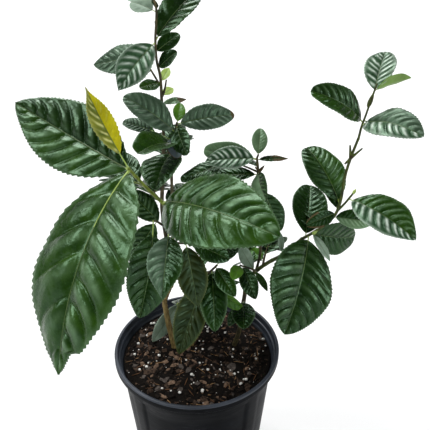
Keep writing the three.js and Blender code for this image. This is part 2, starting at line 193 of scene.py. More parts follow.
def turn_pot():
    """Spins the wall's outline about the pot's axis, then sinks the panels."""
    bm = bmesh.new()
    outline = [(0, 0), (30, 0), (61.4, 0), *arc((62, 2), 2, -90, -8, 4)]
    outline += [(wall_radius(z), z) for z in (8, PANEL_BOTTOM, PANEL_BOTTOM + PANEL_EDGE)]
    outline += [(wall_radius(z), z) for z in range(26, 145, 12)]
    outline += [(wall_radius(z), z) for z in (PANEL_TOP - PANEL_EDGE, PANEL_TOP, 152, 157)]
    outline += [*arc((78.3, 157.2), 0.8, 180, 90, 3), *arc((81.3, 159.2), 1.2, -90, 0, 4)]
    outline += [(82.5, 161), *arc((81.1, 163.6), 1.4, 0, 90, 5)]
    outline += [*arc((79.9, 164.3), 0.7, 90, 180, 3), (79, 162), (78.8, 159.4)]
    outline += [*arc((78.2, 159.4), 0.6, 0, -80, 3), (77.7, 158.7)]
    outline += [*arc((77.6, 158.1), 0.5, 100, 180, 2), (76.9, 153.8)]
    outline += arc((76.3, 153.6), 0.6, 0, -60, 3)
    outline += [(wall_radius(z) - WALL, z) for z in (150.6, 140, 80, FLOOR_TOP)]
    outline += [(30, FLOOR_TOP), (0, FLOOR_TOP)]
    spin_line(bm, [(0, -r * MM, z * MM) for r, z in outline], POT_STEPS)
    for v in bm.verts:
        radius, z = math.hypot(v.co.x, v.co.y) / MM, v.co.z / MM
        if radius < wall_radius(z) - 0.5 or not PANEL_BOTTOM - 0.1 < z < PANEL_TOP + 0.1:
            continue
        angle = math.degrees(math.atan2(v.co.y, v.co.x)) + 90
        middle = PANEL_TURN * round(angle / PANEL_TURN)
        off = abs(angle - middle)
        if abs(off - PANEL_HALF - 2) < 0.5:
            off = PANEL_HALF + 0.7
        inside = off < PANEL_HALF + 0.3 and PANEL_BOTTOM + 0.4 < z < PANEL_TOP - 0.4
        at = math.radians(middle - 90 + math.copysign(off, angle - middle))
        reach = (radius - (PANEL_DEPTH if inside else 0)) * MM
        v.co = (reach * math.cos(at), reach * math.sin(at), v.co.z)
    bm.normal_update()
    # The lip's top and the wall's inner face take a paler, bluer finish: a painted highlight where
    # the light catches them.
    for face in bm.faces:
        middle = face.calc_center_median() / MM
        inward = face.normal.dot(Vector((middle.x, middle.y, 0)).normalized()) < 0.05
        face.material_index = int(middle.z > LIP_FOOT or (inward and middle.z > FLOOR_TOP + 0.5))
    return bm


pot = into_scene("nursery_pot", turn_pot(), [
    pot_finish("black_polypropylene", (0.0022, 0.0026, 0.0034), (0.0042, 0.005, 0.0064), 0.03),
    # The second finish paints the highlight on the lip's top and inside the wall.
    pot_finish("painted_highlight_polypropylene", (0.020, 0.025, 0.034), (0.038, 0.046, 0.062), 0.3)])
drains = bmesh.new()
for i in range(DRAIN_COUNT):
    turn = Matrix.Rotation(math.radians(360 / DRAIN_COUNT * (i - 1)), 4, "Z")
    aside = Matrix.Translation((DRAIN_RADIUS * MM, 0, 0))
    size = Matrix.Diagonal((*[side * MM for side in DRAIN_SIZE], 1))
    bmesh.ops.create_cube(drains, size=1, matrix=turn @ aside @ size)
drain_cutter = new_object("drains", drains, [], False)
holes = pot.modifiers.new("drains", "BOOLEAN")
holes.object = drain_cutter
holes.solver = "EXACT"
bpy.context.view_layer.update()
cut = bpy.data.meshes.new_from_object(pot.evaluated_get(bpy.context.evaluated_depsgraph_get()))
pot.modifiers.clear()
pot.data = cut
bpy.data.objects.remove(drain_cutter)
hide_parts("pot")

# The potting mix is composted bark with fibre and white volcanic grains, filled in loose
# to just under the inner ledge. Its body is one crumbly mass and the coarse bits lie on it.
MIX_TOP = 152.2
MIX_EDGE = 74.6
MIX_FOOT = 3
MIX_CLEAR = 2
MIX_RINGS = 44
MIX_STEPS = 120
CHIP_COUNT = 1900
FLAKE_COUNT = 70
FIBRE_COUNT = 110
GRAIN_COUNT = 140
chance = random.Random(11)


def mix_height(x, y):
    """Height of the loose surface at a place, in millimetres."""
    here = Vector((x, y, 0))
    lumps = noise.fractal(here / 9, 1.0, 2.0, 3) * 0.9
    dip = -1.6 * max(0.0, math.hypot(x, y) / MIX_EDGE - 0.75)
    return MIX_TOP + lumps + dip


def earth_finish(name, dark, light, size, roughness=0.95):
    """Dull earthy stuff whose colour drifts between two, rough all over."""
    finish, nodes, links, shader, place = new_finish(name)
    tone = band(nodes, links, speckle(nodes, links, place, size), 0.35, 0.65)
    links.new(mix_colour(nodes, links, tone, dark, light), shader.inputs["Base Color"])
    shader.inputs["Roughness"].default_value = roughness
    shader.inputs["Specular IOR Level"].default_value = 0.15
    raise_grain(nodes, links, shader, speckle(nodes, links, place, size / 6), 0.0003)
    return finish


earth = bmesh.new()
radii = [(0, MIX_FOOT), (40, MIX_FOOT)]
radii += [(wall_radius(z) - MIX_CLEAR, z) for z in (MIX_FOOT, 40, 80, 120, 150)]
radii += [(MIX_EDGE * (1 - i / MIX_RINGS), MIX_TOP) for i in range(MIX_RINGS + 1)]
spin_line(earth, [(0, -r * MM, z * MM) for r, z in radii], MIX_STEPS)
for v in earth.verts:
    if v.co.z > (MIX_TOP - 1) * MM:
        v.co.z = mix_height(v.co.x / MM, v.co.y / MM) * MM
mix = into_scene("mix_body", earth, [
    earth_finish("composted_fines", (0.0015, 0.0011, 0.0008), (0.007, 0.0046, 0.003), 0.003)])
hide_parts("potting_mix")


def lay_bit(bm, x, y, size, heading, tilt, sunk, tone, ragged):
    """Lays one broken bit on the loose surface, partly sunk, with its corners knocked about."""
    made = bmesh.ops.create_icosphere(bm, subdivisions=1, radius=1)["verts"]
    turn = Matrix.Rotation(heading, 3, "Z") @ Matrix.Rotation(tilt, 3, "X")
    at = Vector((x, y, mix_height(x, y) + size[2] * (0.5 - sunk)))
    for v in made:
        knock = Vector([chance.uniform(-ragged, ragged) for _ in range(3)])
        spread = Vector(a * b / 2 for a, b in zip(v.co + knock, size))
        v.co = (at + turn @ spread) * MM
    for face in {face for v in made for face in v.link_faces}:
        face.material_index = tone


def any_place(edge):
    """An even chance place on the surface, out to a radius in millimetres."""
    radius = edge * math.sqrt(chance.random())
    turn = chance.uniform(0, 2 * math.pi)
    return radius * math.cos(turn), radius * math.sin(turn)


chips = bmesh.new()
for _ in range(CHIP_COUNT):
    long = 1.5 + 6.0 * chance.random() ** 2.6
    size = (long, long * chance.uniform(0.45, 0.85), long * chance.uniform(0.2, 0.45))
    x, y = any_place(MIX_EDGE - long / 2)
    lay_bit(
        chips, x, y, size, chance.uniform(0, math.pi), chance.uniform(-0.7, 0.7),
        chance.uniform(0.1, 0.8), chance.choices((0, 1, 2, 3), (10, 6, 2, 2))[0], 0.4)
for _ in range(FLAKE_COUNT):
    long = chance.uniform(5, 10)
    x, y = any_place(MIX_EDGE - long / 2)
    lay_bit(
        chips, x, y, (long, long * chance.uniform(0.5, 0.9), 2), chance.uniform(0, math.pi),
        chance.uniform(-0.25, 0.25), 0.3, chance.choices((0, 1, 2, 3), (8, 7, 2, 2))[0], 0.2)
LARGE_CHIPS = [
    (-45, -28, 16, 9, 20, 1), (34, -22, 12, 10, 10, 3), (-8, -26, 8, 6, 60, 3),
    (-22, -20, 9, 5, 15, 2), (14, 5, 9, 5, 30, 3), (42, -42, 8, 8, 70, 1),
    (-14, -50, 7, 6, 40, 3), (12, -46, 7, 6, 0, 1), (-30, -58, 13, 5, 155, 2),
    (8, -62, 9, 8, 120, 1), (54, -18, 8, 6, 80, 0), (-60, 8, 8, 6, 30, 1),
]
for x, y, long, wide, heading, tone in LARGE_CHIPS:
    lay_bit(chips, x, y, (long, wide, 3), math.radians(heading), 0.15, 0.45, tone, 0.18)
chip_piece = into_scene("bark_chips", chips, [
    earth_finish("bark_black", (0.002, 0.0015, 0.0011), (0.014, 0.0092, 0.0065), 0.002),
    earth_finish("bark_brown", (0.016, 0.010, 0.007), (0.072, 0.046, 0.032), 0.002),
    earth_finish("bark_tan", (0.080, 0.051, 0.034), (0.24, 0.155, 0.105), 0.002),
    earth_finish("bark_grey", (0.045, 0.036, 0.031), (0.115, 0.096, 0.084), 0.002)], False)
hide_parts("potting_mix")

fibres = bmesh.new()
for _ in range(FIBRE_COUNT):
    long = chance.uniform(4, 13)
    x, y = any_place(MIX_EDGE - long / 2)
    lay_bit(
        fibres, x, y, (long, chance.uniform(0.5, 1.1), 0.7), chance.uniform(0, math.pi),
        chance.uniform(-0.2, 0.2), -0.4, chance.choice((0, 0, 1)), 0.15)
fibre_piece = into_scene("wood_fibres", fibres, [
    earth_finish("fibre_brown", (0.06, 0.03, 0.015), (0.16, 0.08, 0.04), 0.004),
    earth_finish("fibre_straw", (0.20, 0.11, 0.05), (0.36, 0.22, 0.11), 0.004)])
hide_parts("potting_mix")

grains = bmesh.new()
for _ in range(GRAIN_COUNT):
    wide = 0.7 + 2.8 * chance.random() ** 2
    x, y = any_place(MIX_EDGE - 2)
    lay_bit(grains, x, y, (wide, wide * 0.9, wide * 0.85), 0, 0, -0.3, 0, 0.12)
grain_piece = into_scene("white_grains", grains, [
    earth_finish("white_grain", (0.70, 0.68, 0.62), (0.95, 0.94, 0.90), 0.002, 0.8)])
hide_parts("potting_mix")

# Three woody stems rise from the mix and fork into thinner boughs. Their bark is thin, and
# tan low down on two of them. It is furrowed, with a knuckle wherever a leaf has dropped.
STEMS = {
    "main_stem": ([(-24, 7, 151), (-28, 8, 173), (-31, 9, 194), (-32, 10, 208), (-27, 10, 222),
                   (-23, 11, 236), (-28, 13, 280), (-30, 13, 310), (-27, 12, 345),
                   (-25, 10, 377.5)], 3.0, 1.4),
    "second_stem": ([(-23.4, 10.6, 234), (-19.6, 8.6, 237), (-18, 4, 250), (-20, 2, 280),
                     (-19, 0, 331), (-18, -2, 361.3)], 1.6, 1.2),
    "middle_stem": ([(-6, 10, 151), (-7, 9, 180), (-1, 6, 212), (6, 3, 238.5)], 2.1, 1.6),
    "right_stem": ([(38, 10, 151), (43, 10, 172), (46, 10, 203), (50, 10, 232), (58, 10, 243),
                    (70, 10, 253), (83, 9, 262), (99, 8, 279.3)], 2.4, 1.6),
    "right_bough": ([(129, 5, 321.9), (129.5, 5, 339), (132, 4, 357), (136, 3, 374.3)],
                    1.3, 1.1),
    "centre_bough": ([(57.5, 10.6, 243), (59.3, 15.2, 246), (61.5, 17.5, 258), (61, 19, 276),
                      (60, 21, 304), (57, 22, 333.5)], 1.4, 1.2),
    "near_bough": ([(-20, 1.5, 266.4), (-17, -28, 300), (-16, -50, 325), (-18, -67, 346)],
                   1.4, 1.3),
}


def on_path(points, share):
    """The point at a share of the way along a smooth curve through the points."""
    spans = len(points) - 1
    k = min(int(share * spans), spans - 1)
    u = share * spans - k
    b, c = points[k], points[k + 1]
    a = points[k - 1] if k else 2 * b - c
    d = points[k + 2] if k + 2 <= spans else 2 * c - b
    leave, arrive = (c - a) / 2, (d - b) / 2
    return (b * (2 * u**3 - 3 * u**2 + 1) + leave * (u**3 - 2 * u**2 + u)
            + c * (3 * u**2 - 2 * u**3) + arrive * (u**3 - u**2))


def grow_limb(bm, points, thick, thin, sides, step, relief):
    """Rolls a grid into a tapering limb along a path, with a furrowed, knuckled surface."""
    points = [Vector(point) for point in points]
    length = sum((b - a).length for a, b in zip(points, points[1:]))
    rows = max(6, round(length / step))
    across = Vector((1, 0, 0))
    rings = []
    for i in range(rows + 1):
        t = i / rows
        behind, ahead = on_path(points, max(0, t - 0.01)), on_path(points, min(1, t + 0.01))
        along = (ahead - behind).normalized()
        across = (across - along * across.dot(along)).normalized()
        rings.append((on_path(points, t), across, along.cross(across), thick + (thin - thick) * t))
    made = bmesh.ops.create_grid(bm, x_segments=sides, y_segments=rows, size=1)["verts"]
    for v in made:
        turn = math.pi * (v.co.x + 1)
        row = round((v.co.y + 1) / 2 * rows)
        centre, across, third, radius = rings[row]
        out = across * math.cos(turn) + third * math.sin(turn)
        here = Vector((math.cos(turn) * 2.2, math.sin(turn) * 2.2, row * step * 0.12))
        furrow = noise.fractal(here + centre * 0.01, 1.0, 2.0, 3)
        knuckle = max(0.0, math.sin(row * step * 0.42 + math.sin(row * step * 0.09) * 2)) ** 12
        v.co = (centre + out * radius * (1 + relief * (furrow + 0.9 * knuckle))) * MM
    bmesh.ops.remove_doubles(bm, verts=made, dist=1e-6)
    ends = {e for v in made if v.is_valid for e in v.link_edges if e.is_boundary}
    bmesh.ops.holes_fill(bm, edges=list(ends), sides=0)


def bark_finish(name, dark, light, scar, roughness):
    """Thin bark: lengthwise streaks between two colours and darker scars."""
    finish, nodes, links, shader, place = new_finish(name)
    streak = speckle(nodes, links, place, 0.0016, 6, (1, 1, 0.25))
    colour = mix_colour(nodes, links, band(nodes, links, streak, 0.35, 0.65), dark, light)
    spots = band(nodes, links, speckle(nodes, links, place, 0.004, 3), 0.58, 0.68)
    links.new(mix_colour(nodes, links, spots, colour, scar), shader.inputs["Base Color"])
    shader.inputs["Roughness"].default_value = roughness
    shader.inputs["Specular IOR Level"].default_value = 0.25
    raise_grain(nodes, links, shader, streak, 0.0003, 0.8)
    return finish


tan_bark = bark_finish(
    "tan_bark", (0.10, 0.07, 0.02), (0.26, 0.19, 0.07), (0.05, 0.033, 0.015), 0.7)
dark_bark = bark_finish(
    "dark_bark", (0.014, 0.013, 0.006), (0.06, 0.05, 0.018), (0.10, 0.075, 0.03), 0.6)
olive_bark = bark_finish(
    "olive_bark", (0.010, 0.016, 0.002), (0.07, 0.095, 0.012), (0.035, 0.022, 0.008), 0.5)
green_bark = bark_finish(
    "green_bark", (0.06, 0.09, 0.008), (0.19, 0.25, 0.03), (0.10, 0.12, 0.02), 0.45)
UPPER_BARK = {"near_bough": green_bark, "right_stem": olive_bark, "right_bough": olive_bark}
LOWER_BARK = {"main_stem": tan_bark, "middle_stem": tan_bark, "right_stem": dark_bark}
LOWER_TOP = 232
BUD_NODE = Vector((132, 4, 357))
BUD_TIPS = ((129.8, 3, 368.5), (140.5, 3, 366), (127.5, 3.6, 352))
BUD_RADII = (1.4, 0.7)
for stem, (path, thick, thin) in STEMS.items():
    bark = bmesh.new()
    grow_limb(bark, path, thick, thin, sides=18, step=0.9, relief=0.14)
    if stem == "right_bough":
        for tip in map(Vector, BUD_TIPS):
            bud = tip - BUD_NODE
            turn = bud.to_track_quat("Z", "Y").to_matrix().to_4x4()
            halfway = Matrix.Translation((tip + BUD_NODE) * MM / 2)
            bmesh.ops.create_cone(
                bark, segments=8, radius1=BUD_RADII[0] * MM, radius2=BUD_RADII[1] * MM,
                cap_ends=True, depth=bud.length * MM, matrix=halfway @ turn)
    for face in bark.faces:
        middle = face.calc_center_median()
        wander = 14 * noise.noise(middle * 90)
        face.material_index = int(middle.z / MM + wander < LOWER_TOP)
    bmesh.ops.recalc_face_normals(bark, faces=bark.faces)
    upper = UPPER_BARK.get(stem, dark_bark)
    lower = LOWER_BARK.get(stem, upper)
    piece = into_scene(stem + "_bark", bark, [upper, lower])
    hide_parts(stem)

# The foremost shoot carries the largest leaves: three spread ones and a young golden one that
# still stands upright, whose gold is partly its own colour and partly painted glow of light
# shining through it. Every leaf here is one leathery blade on a rib, fused to its twig.
LEAF_GRIDS = ((60, 12, 9, 12), (30, 8, 8, 8), (0, 6, 6, 6))
STALK_SHARE = 0.06
SWELL = 0.95
FULLNESS = 0.72
TIP_TAPER = 0.5
TIP_ROUND = 0.2
LEAST_HALF = 0.15
QUILT_SHARE = 0.022
TOOTH_SHARE = 0.009
LEAST_TOOTH = 0.15
BLADE_THICKNESS = 0.4
LEAST_RIB = 0.24
RIB_SHARE = 0.0055
# Each colour is a blade's dark and light tones, the pale colour its painted sheen and pale margin
# blend to, and its roughness.
LEAF_COLOURS = {
    "deep": ((0.003, 0.012, 0.001), (0.010, 0.031, 0.003), (0.095, 0.160, 0.078), 0.23),
    "mid": ((0.006, 0.024, 0.001), (0.020, 0.056, 0.003), (0.150, 0.250, 0.135), 0.25),
    "dusty": ((0.017, 0.034, 0.018), (0.054, 0.089, 0.054), (0.200, 0.270, 0.205), 0.32),
    "pale": ((0.060, 0.110, 0.050), (0.115, 0.190, 0.100), (0.320, 0.430, 0.300), 0.32),
    # This colour's near-white third colour paints bright sheen stripes on an ordinary green blade.
    "frosted": ((0.010, 0.034, 0.012), (0.034, 0.080, 0.036), (0.750, 0.870, 0.750), 0.28),
    # slate lays a blue-grey painted reflection over a whole blade.
    "slate": ((0.040, 0.052, 0.064), (0.085, 0.100, 0.120), (0.120, 0.135, 0.150), 0.50),
    "olive": ((0.005, 0.009, 0.0005), (0.018, 0.022, 0.002), (0.070, 0.078, 0.020), 0.36),
    "fresh": ((0.030, 0.095, 0.004), (0.085, 0.205, 0.014), (0.190, 0.310, 0.070), 0.34),
    "lime": ((0.240, 0.340, 0.060), (0.420, 0.560, 0.160), (0.550, 0.650, 0.250), 0.50),
    # gold is partly a young leaf's own yellow and partly painted glow of light shining through the
    # blade.
    "gold": ((0.300, 0.270, 0.001), (0.480, 0.440, 0.003), (0.480, 0.500, 0.030), 0.42),
    "straw": ((0.060, 0.080, 0.004), (0.220, 0.230, 0.018), (0.620, 0.620, 0.240), 0.40),
    "ashen": ((0.150, 0.215, 0.155), (0.300, 0.390, 0.305), (0.500, 0.600, 0.500), 0.50),
    "withered": ((0.030, 0.016, 0.006), (0.085, 0.045, 0.018), (0.120, 0.070, 0.030), 0.60),
}
WAX_GLOSS = 0.36
WAX_TINT = (0.56, 1, 0.62, 1)
# The words striped, banded and lit set how strongly a painted sheen, standing in for the wax's
# reflection, lies across the pillows.
PAINTED_SHEENS = {"striped": 0.9, "banded": 0.6, "lit": 0.3}
finishes = {}


def leaf_finish(name, dark, light, roughness, margin_and_painted_sheen=None):
    """A leathery leaf: softly blotched colour, paler along its pale margin and where a sheen is
    painted in, thinly waxed.
    """
    finish, nodes, links, shader, place = new_finish(name)
    patch = band(nodes, links, speckle(nodes, links, place, 0.011, 5), 0.32, 0.68)
    colour = mix_colour(nodes, links, patch, dark, light)
    if margin_and_painted_sheen:
        # The attribute blends in the pale margin and the painted sheen.
        marks = nodes.new("ShaderNodeAttribute")
        marks.attribute_name = "margin_and_painted_sheen"
        colour = mix_colour(nodes, links, marks.outputs["Fac"], colour, margin_and_painted_sheen)
    links.new(colour, shader.inputs["Base Color"])
    wax = speckle(nodes, links, place, 0.0035, 6)
    links.new(
        band(nodes, links, wax, 0.3, 0.7, roughness - 0.06, roughness + 0.08),
        shader.inputs["Roughness"])
    shader.inputs["Specular IOR Level"].default_value = WAX_GLOSS
    shader.inputs["Specular Tint"].default_value = WAX_TINT
    raise_grain(nodes, links, shader, wax, 0.0006, 0.65)
    return finish


def colour_finishes(colour):
    """The finishes of a blade's upper and under sides, made once for each colour."""
    if colour not in finishes:
        dark, light, margin_and_painted_sheen, roughness = LEAF_COLOURS[colour]
        shade = tuple(0.55 * c for c in margin_and_painted_sheen)
        finishes[colour] = (
            leaf_finish("leaf_" + colour, dark, light, roughness, margin_and_painted_sheen),
            leaf_finish("under_" + colour, shade, tuple(0.8 * c for c in margin_and_painted_sheen), 0.6))
    return finishes[colour]


def rib_finish(name, dark, light):
    """A leaf's rib or stalk, smooth and paler than its blade."""
    finish, nodes, links, shader, place = new_finish(name)
    tone = band(nodes, links, speckle(nodes, links, place, 0.01), 0.35, 0.65)
    links.new(mix_colour(nodes, links, tone, dark, light), shader.inputs["Base Color"])
    shader.inputs["Roughness"].default_value = 0.4
    return finish


pale_rib = rib_finish("pale_rib", (0.22, 0.32, 0.05), (0.36, 0.48, 0.12))
green_rib = rib_finish("green_rib", (0.045, 0.085, 0.014), (0.09, 0.15, 0.03))
withered = leaf_finish("withered_edge", *LEAF_COLOURS["withered"][:2], 0.6)


def ease(start, end, x):
    """A smooth step from 0 at start to 1 at end."""
    x = min(1.0, max(0.0, (x - start) / (end - start)))
    return x * x * (3 - 2 * x)


def leaf_frame(row):
    """A leaf's sideways direction, the curve its rib bends along, its stalk's share, its tip."""
    _, _, heading, pitch, length, _, roll, bend, _, *rest = row
    h, p = math.radians(heading), math.radians(pitch)
    along = Vector((math.cos(p) * math.cos(h), math.cos(p) * math.sin(h), math.sin(p)))
    up = (Vector((0, 0, 1)) - along * along.z).normalized()
    up = Matrix.Rotation(math.radians(roll), 3, along) @ up
    turn = math.radians(bend)
    arc_radius = length / (2 * math.sin(turn / 2))

    def spot(t):
        angle = turn / 2 - turn * t
        point = along * (arc_radius * (math.sin(turn / 2) - math.sin(angle)))
        point += up * (arc_radius * (math.cos(angle) - math.cos(turn / 2)))
        return point, up * math.cos(angle) - along * math.sin(angle)

    stalk, tip = (*rest, 0, 0)[:2]
    return along.cross(up), spot, stalk / length if stalk else STALK_SHARE, tip


def halves(look):
    """The words of a leaf's look, for its left half and for its right one."""
    pair = look if isinstance(look, tuple) else (look, look)
    return [half.split() for half in pair]


def grow_blade(bm, foot, row, slots, seed, flaw):
    """Spreads a grid into one blade: quilted between its side veins and toothed at its edge."""
    look, _, _, _, length, width, _, _, fold, *_ = row
    words = halves(look)
    side, spot, share, tip = leaf_frame(row)
    # A grid serves leaves longer than its first number. Then come its half columns, its side
    # veins and its rows for each vein.
    half_columns, veins, per_vein = next(grid[1:] for grid in LEAF_GRIDS if length > grid[0])
    rows = veins * per_vein
    lift, spread = math.sin(math.radians(fold)), math.cos(math.radians(fold))
    quilt = [QUILT_SHARE * length * (0.3 if "smooth" in half else 1) for half in words]
    vein_counts = [veins * (0.6 if "broad" in half else 1) for half in words]
    painted_sheens = [max(PAINTED_SHEENS.get(word, 0) for word in half) for half in words]
    # Each corner keeps a value for the pale margin and for the painted sheen that stands in for
    # reflections on the pillows.
    margin_and_painted_sheen = bm.verts.layers.float.get("margin_and_painted_sheen") or bm.verts.layers.float.new("margin_and_painted_sheen")
    tooth = TOOTH_SHARE * length + LEAST_TOOTH
    made = bmesh.ops.create_grid(bm, x_segments=2 * half_columns, y_segments=rows, size=1)["verts"]
    marks = {}
    for v in made:
        column = round(v.co.x * half_columns)
        row_number = round((v.co.y + 1) / 2 * rows)
        hand = 0 if column < 0 else 1
        r = row_number / rows
        # From here on x runs from the rib to the edge, and s from the blade's foot to its tip.
        x = abs(column)
        if x > 1:
            x = 1 if x == half_columns else 0.04 + 0.91 * (x - 1) / (half_columns - 2)
        elif x == 1:
            x = 0.04
        s = r + 0.8 * r * (1 - r) * x**1.35
        bulge = math.sin(math.pi * s**SWELL) if 0 < s < 1 else 0
        power = FULLNESS + (TIP_TAPER * tip - TIP_ROUND) * s**3
        half = max(width / 2 * bulge**power, LEAST_HALF)
        at, normal = spot(share + (1 - share) * s)
        drift = 0.35 * noise.noise(Vector((5 * r, 9 * hand, seed + 0.5 * length)))
        phase = (r * vein_counts[hand] + 0.5 * hand + drift) % 1
        pillow = 1 - abs(2 * phase**0.8 - 1) ** 2.8
        fade = ease(0.03, 0.2, x) * (1 - 0.8 * ease(0.45, 1, x)) * ease(0, 0.1, s)
        fade *= 1 - 0.6 * ease(0.75, 1, s)
        wave = math.sin(2 * math.pi * (2.3 * s + seed * 0.37 + 0.4 * hand))
        grain = noise.noise(Vector((s * length / 4, x * half / 4, seed + 5 * hand)))
        height = quilt[hand] * (pillow * fade + 0.10 * grain * ease(0.02, 0.2, x))
        height += half * (lift * x - 0.04 * x**2.5 + 0.035 * wave * x * x)
        reach = half * x * spread
        if flaw and flaw[0] == "torn" and hand == 0:
            reach *= 1 - 0.42 * ease(flaw[1], flaw[1] + 0.012, s)
        if x == 1:
            part = row_number % 3
            grown = tooth * ease(0.04, 0.14, s) * (1 - ease(0.97, 1, s))
            reach += grown * (0, 0.5, 1)[part]
        v.co = (foot + at + side * math.copysign(reach, column) + normal * height) * MM
        ragged = 0.75 + 0.9 * noise.noise(Vector((6 * x, 14 * s, seed + 3 * hand + length)))
        # A painted sheen lies in a ragged band along one side of each pillow, away from the rib
        # and edge; the pale margin is the leaf's own.
        streak = math.exp(-((phase - 0.42) / 0.17) ** 2)
        streak *= ease(0, 0.12, x) * (1 - ease(0.5, 0.95, x))
        margin = (1 if "edged" in words[hand] else 0.35) * ease(0.92, 0.99, x)
        v[margin_and_painted_sheen] = max(painted_sheens[hand] * streak * min(1, max(0, ragged)), margin)
        marks[v] = (column, x, s)
    for face in {face for v in made for face in v.link_faces}:
        corners = [marks[v] for v in face.verts]
        hand = 0 if sum(c[0] for c in corners) < 0 else 1
        x, s = (sum(c[k] for c in corners) / 4 for k in (1, 2))
        face.material_index = slots[words[hand][-1]]
        if flaw and flaw[0] == "withered" and s > flaw[1] and x > flaw[2]:
            face.material_index = slots["withered"]


def grow_rib(bm, foot, row, slot):
    """Rolls a grid into a leaf's stalk and rib, which thins towards the tip."""
    length = row[4]
    side, spot, share, _ = leaf_frame(row)
    thick = LEAST_RIB + RIB_SHARE * length
    pale_to = 0.36 if length > 110 else 1.4 * share
    rows = 14 if length < 60 else 26
    made = bmesh.ops.create_grid(bm, x_segments=6, y_segments=rows, size=1)["verts"]
    places = {v: (v.co.y + 1) / 2 for v in made}
    for v in made:
        turn = math.pi * (v.co.x + 1)
        t = places[v]
        at, normal = spot(0.985 * t)
        radius = thick * (1 - 0.85 * t**0.45) + 0.06
        out = side * math.cos(turn) * radius + normal * (math.sin(turn) - 0.35) * radius
        v.co = (foot + at + out) * MM
    for face in {face for v in made for face in v.link_faces}:
        pale = max(places[v] for v in face.verts) < pale_to
        face.material_index = slot + 1 if pale else slot
    bmesh.ops.remove_doubles(bm, verts=made, dist=1e-7)
    ends = {e for v in made if v.is_valid for e in v.link_edges if e.is_boundary}
    bmesh.ops.holes_fill(bm, edges=list(ends), sides=0)


def grow_bud(bm, foot, tip, radius, slot):
    """Draws a short pointed bud out of a grid, plump near its foot."""
    foot, tip = Vector(foot), Vector(tip)
    along = (tip - foot).normalized()
    across = along.orthogonal().normalized()
    third = along.cross(across)
    made = bmesh.ops.create_grid(bm, x_segments=8, y_segments=8, size=1)["verts"]
    for v in made:
        turn = math.pi * (v.co.x + 1)
        t = (v.co.y + 1) / 2
        plump = radius * math.sin(math.pi * min(t, 0.995) ** 0.7) ** 0.8 if t > 0 else 0
        out = (across * math.cos(turn) + third * math.sin(turn)) * plump
        v.co = (foot.lerp(tip, t) + out) * MM
    for face in {face for v in made for face in v.link_faces}:
        face.material_index = slot
    bmesh.ops.remove_doubles(bm, verts=made, dist=1e-6)


def grow_mass(name, twigs, bark, buds=(), flaws=None):
    """Grows one mass: twigs, ribs and buds as one piece, and the blades as another.

    A twig is its path, its two radii and its leaf rows. A leaf row is its look, its place along
    the twig, heading, pitch, length, width, roll, bend, fold, stalk and tip. A look's last word
    is its colour, and a pair of looks is for the blade's two halves. A bud is its foot, tip,
    radius and finish. A flaw, kept under its leaf's number, is its kind and where it starts.
    """
    wood, blades = bmesh.new(), bmesh.new()
    flaws = flaws or {}
    used = ["withered"] if flaws else []
    for _, _, _, rows in twigs:
        for row in rows:
            used += [half[-1] for half in halves(row[0]) if half[-1] not in used]
    slots = {colour: 2 * used.index(colour) for colour in used}
    number = 0
    for path, thick, thin, rows in twigs:
        points = [Vector(point) for point in path]
        grow_limb(wood, path, thick, thin, sides=8, step=1.5, relief=0.06)
        for row in rows:
            foot = on_path(points, row[1])
            grow_blade(blades, foot, row, slots, number, flaws.get(number))
            grow_rib(wood, foot, row, 1)
            number += 1
    for foot, tip, radius, slot in buds:
        grow_bud(wood, foot, tip, radius, slot)
    bmesh.ops.recalc_face_normals(wood, faces=wood.faces)
    twig_piece = into_scene(name + "_twigs", wood, [bark, green_rib, pale_rib, withered])
    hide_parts(name)
    sides = [finish for colour in used for finish in colour_finishes(colour)]
    blade_piece = into_scene(name + "_leaves", blades, sides)
    shell = blade_piece.modifiers.new("thickness", "SOLIDIFY")
    shell.thickness = BLADE_THICKNESS * MM
    shell.offset = -1
    shell.material_offset = 1
    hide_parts(name)


grow_mass("near_shoot", [(
    [(-18, -67.3, 345.9), (-26, -83, 363), (-33, -96, 379), (-34, -98, 382)], 1.3, 0.9, [
        (("striped mid", "lit mid"), 0.03, -46, 6, 103, 49, 40, 48, 2, 0, 0.3),
        (("banded mid", "broad lit mid"), 0.75, -114, -49, 121, 64, 7, 50, 1, 3, 0.8),
        (("banded mid", "lit deep"), 0.7, 151, 19, 100, 46, -49, -18, 6, 3, 0.6),
        (("smooth striped straw", "smooth gold"), 1, 138, 50, 57, 14.5, -20, -28, 10, 11, 2.3),
    ]), (
    [(-26, -83, 363), (-31, -82, 366), (-36.4, -81, 367)], 0.8, 0.5, [])],
    green_bark, flaws={1: ("torn", 0.87)})

